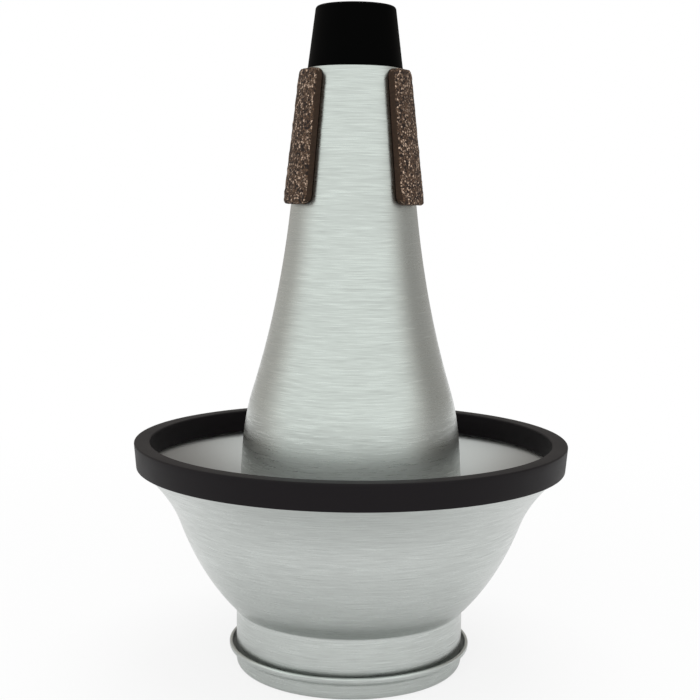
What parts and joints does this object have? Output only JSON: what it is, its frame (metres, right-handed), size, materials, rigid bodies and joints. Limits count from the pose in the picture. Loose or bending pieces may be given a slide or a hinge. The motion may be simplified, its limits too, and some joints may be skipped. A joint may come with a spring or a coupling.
{
  "type": "trombone cup mute",
  "caption": "Cup mute for a trombone: spun metal cone with a rubber throat and cork strips, and a sliding cup with a rubber rim.",
  "frame": {"origin": "centre of the lid's underside, where the mute stands", "axes": "+Z along the axis from the lid to the throat, -Y to the front, midway between the two cork strips that the picture shows"},
  "size_m": [0.19, 0.19, 0.2884],
  "materials": {
    "spun_aluminium": "satin, brushed round the axis",
    "tip_rubber": "smooth matte",
    "rim_rubber": "matte",
    "granulated_cork": "coarse dark granules"
  },
  "bodies": {
    "mute_body": {"body_shell": "spun_aluminium", "end_lid": "spun_aluminium", "tip": "tip_rubber", "cork_left": "granulated_cork", "cork_right": "granulated_cork", "cork_back": "granulated_cork"},
    "cup": {"cup_shell": "spun_aluminium", "rim_bumper": "rim_rubber"}
  },
  "joints": [
    {"name": "cup_slide", "type": "slide", "parent": "mute_body", "child": "cup", "axis": [0, 0, 1], "range_m": [0, 0.29]}
  ]
}
